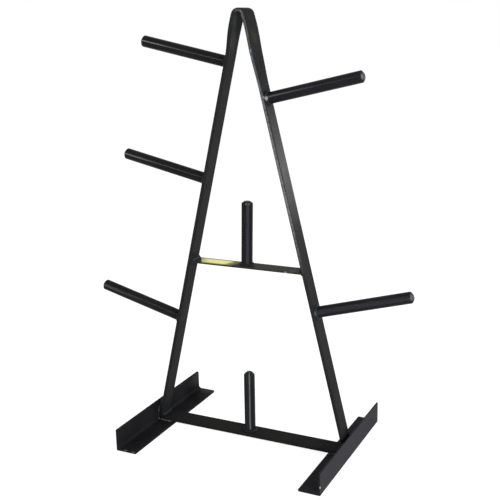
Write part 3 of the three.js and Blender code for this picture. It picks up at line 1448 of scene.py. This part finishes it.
@dataclass
class Pegs:
    """The five pegs on the legs and the two posts on the bars.

    Each of places has a peg's side, the height of its root, the degrees that it
    climbs and its length. Each of posts has a post's distance from the middle,
    the degrees that it leans and the length of its nose.
    """

    layout: Layout
    welds: WeldSweep
    finishes: "Finishes"
    base: TieBar
    cross: TieBar
    post_length: float = 0.143
    places: tuple[tuple[str, Side, float, float, float], ...] = (
        ("left_upper", Side.LEFT, 0.84613, 12.4, 0.213),
        ("left_middle", Side.LEFT, 0.594965, 13.0, 0.213),
        ("left_lower", Side.LEFT, 0.267018, 14.7, 0.217),
        ("right_upper", Side.RIGHT, 0.772022, 12.7, 0.213),
        ("right_lower", Side.RIGHT, 0.3200205, 15.7, 0.217),
    )
    posts: tuple[tuple[str, float, float, float], ...] = (
        ("post_base", -0.0033, 0.2, 0.0065),
        ("post_cross", -0.0026, 1.6, 0.0045),
    )

    def build(self) -> None:
        """Makes every peg and post with its weld."""
        lean, paints = self.layout.lean, self.finishes
        for number, (name, side, height, climb, length) in enumerate(self.places):
            sign = side.value
            seat = Matrix.Translation((sign * self.layout.outer_x(height), 0.0, height))
            seat @= Matrix.Rotation(sign * (QUARTER - lean), 4, "Y")
            WeldedPeg(self.layout, self.welds, paints.pegs[name], paints.weld, f"peg_{name}",
                      seat, sign * (lean - math.radians(climb)), length, number).build()
        under = ((self.base, paints.low_post), (self.cross, paints.high_post))
        for number, (post, (bar, paint)) in enumerate(zip(self.posts, under), len(self.places)):
            name, offset, tilt, nose = post
            seat = Matrix.Translation((offset, 0.0, bar.top))
            WeldedPeg(self.layout, self.welds, paint, paints.post_weld, name, seat,
                      math.radians(tilt), self.post_length, number, nose_length=nose).build()


@dataclass
class Joints:
    """The straight welds at the ends of both bars and on the feet."""

    layout: Layout
    welds: WeldSweep
    finish: PaintFinish
    base: TieBar
    cross: TieBar
    tie_run: float = 0.037
    tie_end_share: float = 0.07
    over_size: float = 0.006
    under_size: float = 0.0034
    base_size: float = 0.005
    foot_size: float = 0.004
    foot_end_share: float = 0.06
    toe_clear: float = 0.004
    step: float = 0.00028
    ripple: float = 0.0021

    def build(self) -> None:
        """Makes every straight weld."""
        for side in Side:
            cross, sign = f"weld_cross_{side.label}", side.value
            self._tie(f"{cross}_top", sign, self.cross.top, 1.0, self.over_size, seed=20)
            self._tie(f"{cross}_under", sign, self.cross.bottom, -1.0, self.under_size, seed=30)
            self._tie(f"weld_base_{side.label}", sign, self.base.top, 1.0, self.base_size, seed=40)
            self._foot(f"weld_foot_{side.label}_front", sign, -1.0, seed=50)
            self._foot(f"weld_foot_{side.label}_back", sign, 1.0, seed=60)

    def _bead(self, node: str, corner: Vector, first: Vector, up: Vector, run: float,
              bead: Bead, slope: float = 0.0) -> None:
        """Lays a straight bead in the corner between two faces.

        Args:
            node: The CAD node that it stands for.
            corner: Middle of the joint.
            first: Direction along the first face, square to the joint.
            up: Direction away from the first face.
            run: Length of the weld.
            bead: The bead's sizes.
            slope: How far the second face leans out, as an angle from square.
        """
        material = self.finish.material()
        count = round(run / self.step)
        line = [(0.0, run * (i / count - 0.5), 0.0) for i in range(count + 1)]
        mesh = self.welds.lay(line, bead.section(slope), bead, material)
        tidy_mesh(mesh, WELD_SHARP)
        turned = Matrix((first, up.cross(first), up)).transposed().to_4x4()
        mesh.transform(Matrix.Translation(corner) @ turned)
        set_grain(mesh, tuple)
        piece(node.replace("weld", "bead"), mesh, material, Slot.WELD, node)

    def _tie(self, node: str, sign: int, height: float, upward: float, size: float,
             seed: int) -> None:
        """Makes a weld across the end of a bar.

        Args:
            node: The CAD node that it stands for.
            sign: -1 on the left leg, 1 on the right.
            height: Height of the bar's face.
            upward: 1 on top of the bar, -1 under it.
            size: Its reach along both faces.
            seed: Picks its ripples.
        """
        place = self.layout
        slope = upward * place.lean
        setback = place.weld_gap / math.cos(slope)
        corner = Vector((sign * place.inner_x(height), 0.0, height))
        first, up = Vector((-sign, 0.0, 0.0)), Vector((0.0, 0.0, upward))
        corner += first * (setback * (1.0 + math.sin(slope))) + up * place.weld_gap
        bead = Bead(size, round(self.tie_run / self.ripple), seed + sign, self.tie_end_share)
        self._bead(node, corner, first, up, self.tie_run, bead, slope)

    def _foot(self, node: str, sign: int, front: float, seed: int) -> None:
        """Makes a weld along the base bar's edge on a flange.

        Args:
            node: The CAD node that it stands for.
            sign: -1 on the left foot, 1 on the right.
            front: -1 in front of the bar, 1 behind it.
            seed: Picks its ripples.
        """
        place = self.layout
        toe = place.foot_span / 2 - place.angle_side + self.toe_clear
        root = place.foot_span / 2 - place.angle_wall - place.angle_root
        away = self.base.width / 2 + place.weld_gap
        corner = Vector((sign * (toe + root) / 2, front * away, place.seat))
        first, up = Vector((0.0, front, 0.0)), Vector((0.0, 0.0, 1.0))
        run = root - toe
        bead = Bead(self.foot_size, round(run / self.ripple), seed + sign, self.foot_end_share)
        self._bead(node, corner, first, up, run, bead)


# Studio


def looking(azimuth: float, elevation: float) -> Vector:
    """Gives the direction in which the stand is seen from an azimuth and elevation."""
    turn, rise = math.radians(azimuth), math.radians(elevation)
    return Vector((-math.sin(turn) * math.cos(rise), math.cos(turn) * math.cos(rise),
                   -math.sin(rise)))


@dataclass(frozen=True)
class SoftBox:
    """A square lamp that faces the stand."""

    name: str
    azimuth: float
    elevation: float
    distance: float
    size: float
    power: float
    aim: Place = (0.0, 0.0, 0.45)

    def build(self) -> None:
        """Hangs the lamp."""
        lamp = bpy.data.lights.new(self.name, "AREA")
        lamp.shape = "SQUARE"
        lamp.size = self.size
        lamp.energy = self.power
        away = -looking(self.azimuth, self.elevation)
        made = linked(self.name, lamp)
        made.location = Vector(self.aim) + away * self.distance
        made.rotation_euler = away.to_track_quat("Z", "Y").to_euler()
        made.visible_camera = False


@dataclass
class Studio:
    """A pale floor, a white world, soft lamps and the photograph's camera."""

    ambient: float = 0.55
    floor_half: float = 30.0
    floor_drop: float = 0.0002
    floor_white: float = 0.9
    floor_glow: float = 1.25
    shadow_share: float = 0.3
    lamps: tuple[SoftBox, ...] = (
        SoftBox("side_lamp", 60.0, 13.0, 2.6, 0.35, 55.0),
        SoftBox("front_lamp", -29.0, 22.0, 3.0, 0.4, 28.0),
        SoftBox("back_lamp", 150.5, 7.5, 2.2, 0.36, 20.0),
    )
    camera_place: Place = (0.828392, -1.654154, 0.917047)
    camera_azimuth: float = 26.198
    camera_elevation: float = 14.384
    camera_roll: float = -1.192
    camera_clip: Point = (0.05, 200.0)
    sensor: float = 36.0
    focal_share: float = 871.37 / 500.0

    @staticmethod
    def seen(graph: Graph) -> Socket:
        """Tells rays that show the background from rays that light.

        Args:
            graph: The material's or world's graph.

        Returns:
            1 for camera, glossy and transmission rays.
        """
        rays = graph.node("ShaderNodeLightPath").outputs
        shown = graph.math("MAXIMUM", rays["Is Camera Ray"], rays["Is Glossy Ray"])
        return graph.math("MAXIMUM", shown, rays["Is Transmission Ray"])

    def build_world(self) -> None:
        """Makes the world white to look at and soft to light with."""
        world = bpy.data.worlds.new("white_studio")
        world.use_nodes = True
        world.node_tree.nodes.clear()
        graph = Graph(world.node_tree)
        soft, white = (graph.node("ShaderNodeBackground", {"Color": WHITE, "Strength": strength})
                       for strength in (self.ambient, 1.0))
        both = graph.node("ShaderNodeMixShader", {
            0: self.seen(graph), 1: soft.outputs[0], 2: white.outputs[0],
        })
        graph.node("ShaderNodeOutputWorld", {"Surface": both.outputs[0]})
        bpy.context.scene.world = world

    def build_floor(self) -> None:
        """Lays the floor, white to look at but for the stand's shadow."""
        material = bpy.data.materials.new("floor_white")
        material.use_nodes = True
        material.node_tree.nodes.clear()
        graph = Graph(material.node_tree)
        pale = (self.floor_white, self.floor_white, self.floor_white, 1.0)
        paper = graph.node("ShaderNodeBsdfDiffuse", {"Color": pale})
        glow = graph.node("ShaderNodeEmission", {"Color": WHITE, "Strength": self.floor_glow})
        both = graph.node("ShaderNodeMixShader", {
            0: graph.times(self.seen(graph), 1.0 - self.shadow_share), 1: paper.outputs[0],
            2: glow.outputs[0],
        })
        graph.node("ShaderNodeOutputMaterial", {"Surface": both.outputs[0]})
        half, z = self.floor_half, -self.floor_drop
        corners = [(-half, -half, z), (half, -half, z), (half, half, z), (-half, half, z)]
        mesh = bpy.data.meshes.new("studio_floor")
        mesh.from_pydata(corners, [], [(0, 1, 2, 3)])
        mesh.materials.append(material)
        floor = linked("studio_floor", mesh)

    def build_camera(self) -> None:
        """Puts the camera where the photograph was taken from."""
        turn, roll = math.radians(self.camera_azimuth), math.radians(self.camera_roll)
        ahead = looking(self.camera_azimuth, self.camera_elevation)
        level = Vector((math.cos(turn), math.sin(turn), 0.0))
        above = level.cross(ahead)
        right = level * math.cos(roll) + above * math.sin(roll)
        up = -level * math.sin(roll) + above * math.cos(roll)
        data = bpy.data.cameras.new("photo_camera")
        data.sensor_width = self.sensor
        data.sensor_fit = "HORIZONTAL"
        data.lens = self.sensor * self.focal_share
        data.clip_start, data.clip_end = self.camera_clip
        camera = linked("photo_camera", data)
        turned = Matrix((right, up, -ahead)).transposed().to_4x4()
        camera.matrix_world = Matrix.Translation(self.camera_place) @ turned
        bpy.context.scene.camera = camera

    def build(self) -> None:
        """Sets up the whole studio."""
        bpy.context.scene.view_settings.view_transform = "Standard"
        self.build_world()
        self.build_floor()
        for lamp in self.lamps:
            lamp.build()
        self.build_camera()
        LOG.info("studio: %d lamps", len(self.lamps))


@dataclass(frozen=True)
class Finishes:
    """The finish of each kind of piece, with the marks that the photograph shows."""

    # the frame's paint has a painted highlight along the right leg's front edge
    frame: PaintFinish = RubbedEdgeFinish(
        "frame_black", (0.0125, 0.0126, 0.0130), (0.0165, 0.0167, 0.0168), 0.27, 1.045, marks=(
            Stain((0.0325, 0.0024, 0.8940), (0.012, 0.014, 0.020), (0.034, 0.034, 0.018), 0.5),
            Stain((-0.0028, -0.0054, 0.9265), (0.012, 0.018, 0.026), (0.020, 0.026, 0.026), 0.8),
            Stain((0.0410, -0.0192, 0.8588), (0.012, 0.014, 0.030), (0.018, 0.024, 0.030), 0.7),
            # painted glint on the right leg beside the right upper peg's weld
            fleck((0.0608, -0.0156, 0.7758), (0.0040, 0.0040, 0.0040), (0.17, 0.19, 0.205)),
            fleck((0.0331, -0.0156, 0.8690), (0.0022, 0.0030, 0.0052), (0.26, 0.27, 0.28),
                  0.8, 500.0),
            fleck((0.0338, -0.0156, 0.8574), (0.0024, 0.0030, 0.0046), (0.26, 0.27, 0.28),
                  0.8, 500.0),
            fleck((0.0781, -0.0156, 0.6847), (0.0024, 0.0024, 0.0026), (0.20, 0.21, 0.22), 0.8),
            fleck((0.0813, -0.0156, 0.6682), (0.0024, 0.0024, 0.0026), (0.20, 0.21, 0.22), 0.8),
            Stain((-0.2085, 0.0044, 0.0550), (0.020, 0.030, 0.030), (0.018, 0.018, 0.019)),
            # painted shadow of the right foot's wall over the right leg's low end
            Stain((0.2330, 0.0044, 0.0290), (0.030, 0.045, 0.032), (0.004, 0.004, 0.0045), 0.85),
            Stain((-0.1288, 0.0100, 0.4035), (0.010, 0.020, 0.009), (0.007, 0.008, 0.009), 0.8),
            Stain((-0.1250, -0.0100, 0.4150), (0.008, 0.016, 0.008), (0.017, 0.022, 0.023), 0.7),
            # painted highlight along the left leg's front outer edge above the foot
            Line((-0.2306, -0.0149, 0.0120), (-0.2168, -0.0149, 0.0690), 0.0019,
                 (0.065, 0.065, 0.068)),
        ))
    base: PaintFinish = PaintFinish(
        "base_black", (0.0105, 0.0105, 0.0105), (0.014, 0.0135, 0.013), 0.5, 1.05)
    left_foot: PaintFinish = PaintFinish(
        "left_foot_black", (0.0087, 0.0088, 0.0097), (0.0120, 0.0122, 0.0133), 0.5, 1.06, marks=(
            fleck((-0.2296, -0.0172, 0.0059), (0.0040, 0.0036, 0.0036), (0.17, 0.17, 0.175)),
            fleck((-0.2140, -0.1860, 0.0046), (0.0080, 0.0030, 0.0028), (0.075, 0.075, 0.075)),
            fleck((-0.1940, -0.1860, 0.0030), (0.0085, 0.0030, 0.0040), (0.060, 0.060, 0.060)),
            # painted reflection lightening the far end of the flange and its root
            Stain((-0.2310, 0.1780, 0.0390), (0.0060, 0.0640, 0.0300), (0.030, 0.030, 0.030), 0.9),
            Stain((-0.2050, 0.1810, 0.0050), (0.0300, 0.0290, 0.0100), (0.034, 0.034, 0.034), 0.9),
            # painted highlight lines on the wall beside the left leg's front edge
            Line((-0.2330, -0.0125, 0.0110), (-0.2330, -0.0090, 0.0240), 0.0048,
                 (0.095, 0.095, 0.098)),
            Line((-0.2290, -0.0090, 0.0250), (-0.2290, 0.0010, 0.0440), 0.0088,
                 (0.26, 0.26, 0.265)),
        ))
    # the right foot's paint has painted light on the outside of its wall
    right_foot: PaintFinish = PaleWallFinish(
        "right_foot_black", (0.0106, 0.0105, 0.0121), (0.0144, 0.0142, 0.0166), 0.5, 1.08, marks=(
            fleck((0.2514, -0.1860, 0.0188), (0.0020, 0.0030, 0.0034), (0.26, 0.26, 0.27)),
            # painted light in the shaded gap between the right leg and the wall
            Stain((0.2468, 0.0044, 0.0350), (0.004, 0.030, 0.025), (0.030, 0.030, 0.032), 0.9),
        ))
    cross: PaintFinish = GoldenPatchFinish(
        "cross_black", (0.018, 0.0185, 0.0145), (0.028, 0.029, 0.023), 0.4, 1.08, marks=(
            fleck((0.1056, -0.0156, 0.4072), (0.0044, 0.0024, 0.0024), (0.28, 0.28, 0.27)),
            Stain((0.1190, -0.0040, 0.4090), (0.0150, 0.0180, 0.0040), (0.052, 0.052, 0.047), 0.9),
        ))
    # pegs and posts: painted highlights on the noses, painted highlight lines along the sides and
    # painted glints on the cones
    left_peg: PaintFinish = PegFinish(
        "left_peg_black", (0.0065, 0.0065, 0.0070), (0.0095, 0.0095, 0.0105), 0.22, 1.12,
        peel=0.04, grain=0.04, dull_tip=0.5,
        streak=Band((0.118, 0.12, 0.123), -0.0175, 0.0021, (0.085, 0.225)))
    right_peg: PaintFinish = PegFinish(
        "right_peg_black", (0.0075, 0.0075, 0.0085), (0.0105, 0.0105, 0.0120), 0.24, 1.12,
        peel=0.04, grain=0.04, dull_tip=0.5,
        streak=Band((0.040, 0.041, 0.045), -0.0230, 0.0026, (0.13, 0.02)),
        glint=Band((0.115, 0.115, 0.12), -0.0196, 0.0115))
    low_left_peg: PaintFinish = replace(
        left_peg, name="low_left_peg_black",
        streak=Band((0.078, 0.079, 0.081), -0.0175, 0.0021, (0.085, 0.225)))
    low_right_peg: PaintFinish = replace(
        right_peg, name="low_right_peg_black",
        streak=Band((0.022, 0.022, 0.026), -0.0198, 0.0044),
        glint=Band((0.105, 0.105, 0.11), -0.0232, 0.0115))
    low_post: PaintFinish = PegFinish(
        "low_post_black", (0.0115, 0.0118, 0.0125), (0.0145, 0.0148, 0.016), 0.26, 1.10,
        grain=0.12, nose=(0.015, 0.015, 0.016),
        streak=Band((0.105, 0.112, 0.120), -0.01386, 0.0022))
    high_post: PaintFinish = PegFinish(
        "high_post_black", (0.0080, 0.0080, 0.0088), (0.0110, 0.0110, 0.0122), 0.26, 1.10,
        grain=0.12, nose=(0.055, 0.055, 0.060),
        streak=Band((0.028, 0.027, 0.032), -0.0128, 0.0048), marks=(
            # painted highlight on the upper post's nose cone
            fleck((0.0145, -0.0063, 0.5474), (0.0070, 0.0060, 0.0036), (0.22, 0.22, 0.225)),
        ))
    weld: PaintFinish = PaintFinish(
        "weld_black", (0.009, 0.0105, 0.0125), (0.014, 0.017, 0.020), 0.42, 1.12,
        grain=0.0, marks=(
            # painted glints and painted highlight lines on the weld beads
            fleck((0.0646, -0.0114, 0.7735), (0.0075, 0.0060, 0.0060), (0.22, 0.245, 0.26)),
            Stain((0.1730, -0.0150, 0.3233), (0.008, 0.007, 0.010), (0.07, 0.073, 0.073), 0.8),
            Line((-0.2220, -0.0208, 0.0074), (-0.1960, -0.0214, 0.0068), 0.0024,
                 (0.075, 0.075, 0.077)),
        ))
    post_weld: PaintFinish = PaintFinish(
        "post_weld_black", (0.010, 0.010, 0.0105), (0.014, 0.014, 0.0145), 0.35, 1.08, grain=0.0)

    @property
    def pegs(self) -> dict[str, PaintFinish]:
        """The paint of each peg, by the peg's name."""
        return {"left_upper": self.left_peg, "left_middle": self.left_peg,
                "left_lower": self.low_left_peg, "right_upper": self.right_peg,
                "right_lower": self.low_right_peg}


def clear_start_file() -> None:
    """Removes the cube, lamp and camera that a new file starts with."""
    for name in ("Cube", "Light", "Camera"):
        found = bpy.data.objects.get(name)
        if found is not None:
            bpy.data.objects.remove(found)


def main() -> None:
    """Builds every piece and the studio."""
    logging.basicConfig(level=logging.INFO, format="%(name)s: %(message)s")
    clear_start_file()
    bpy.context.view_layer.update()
    finishes = Finishes()
    bars, welds = BarSweep(), WeldSweep()
    base = TieBar(LAYOUT, bars, finishes.base, "base_bar", Slot.BASE,
                  bottom=LAYOUT.seat, width=0.045, thickness=0.008, edge_radius=0.0015)
    cross = TieBar(LAYOUT, bars, finishes.cross, "cross_bar", Slot.CROSS,
                   bottom=0.405, width=0.040, thickness=0.004, edge_radius=0.001)
    BentFrame(LAYOUT, bars, finishes.frame).build()
    base.build()
    cross.build()
    AngleFoot(LAYOUT, bars, finishes.left_foot, Side.LEFT).build()
    AngleFoot(LAYOUT, bars, finishes.right_foot, Side.RIGHT, front_corner=0.004).build()
    Pegs(LAYOUT, welds, finishes, base, cross).build()
    Joints(LAYOUT, welds, finishes.weld, base, cross).build()
    Studio().build()


if __name__ == "__main__":
    main()
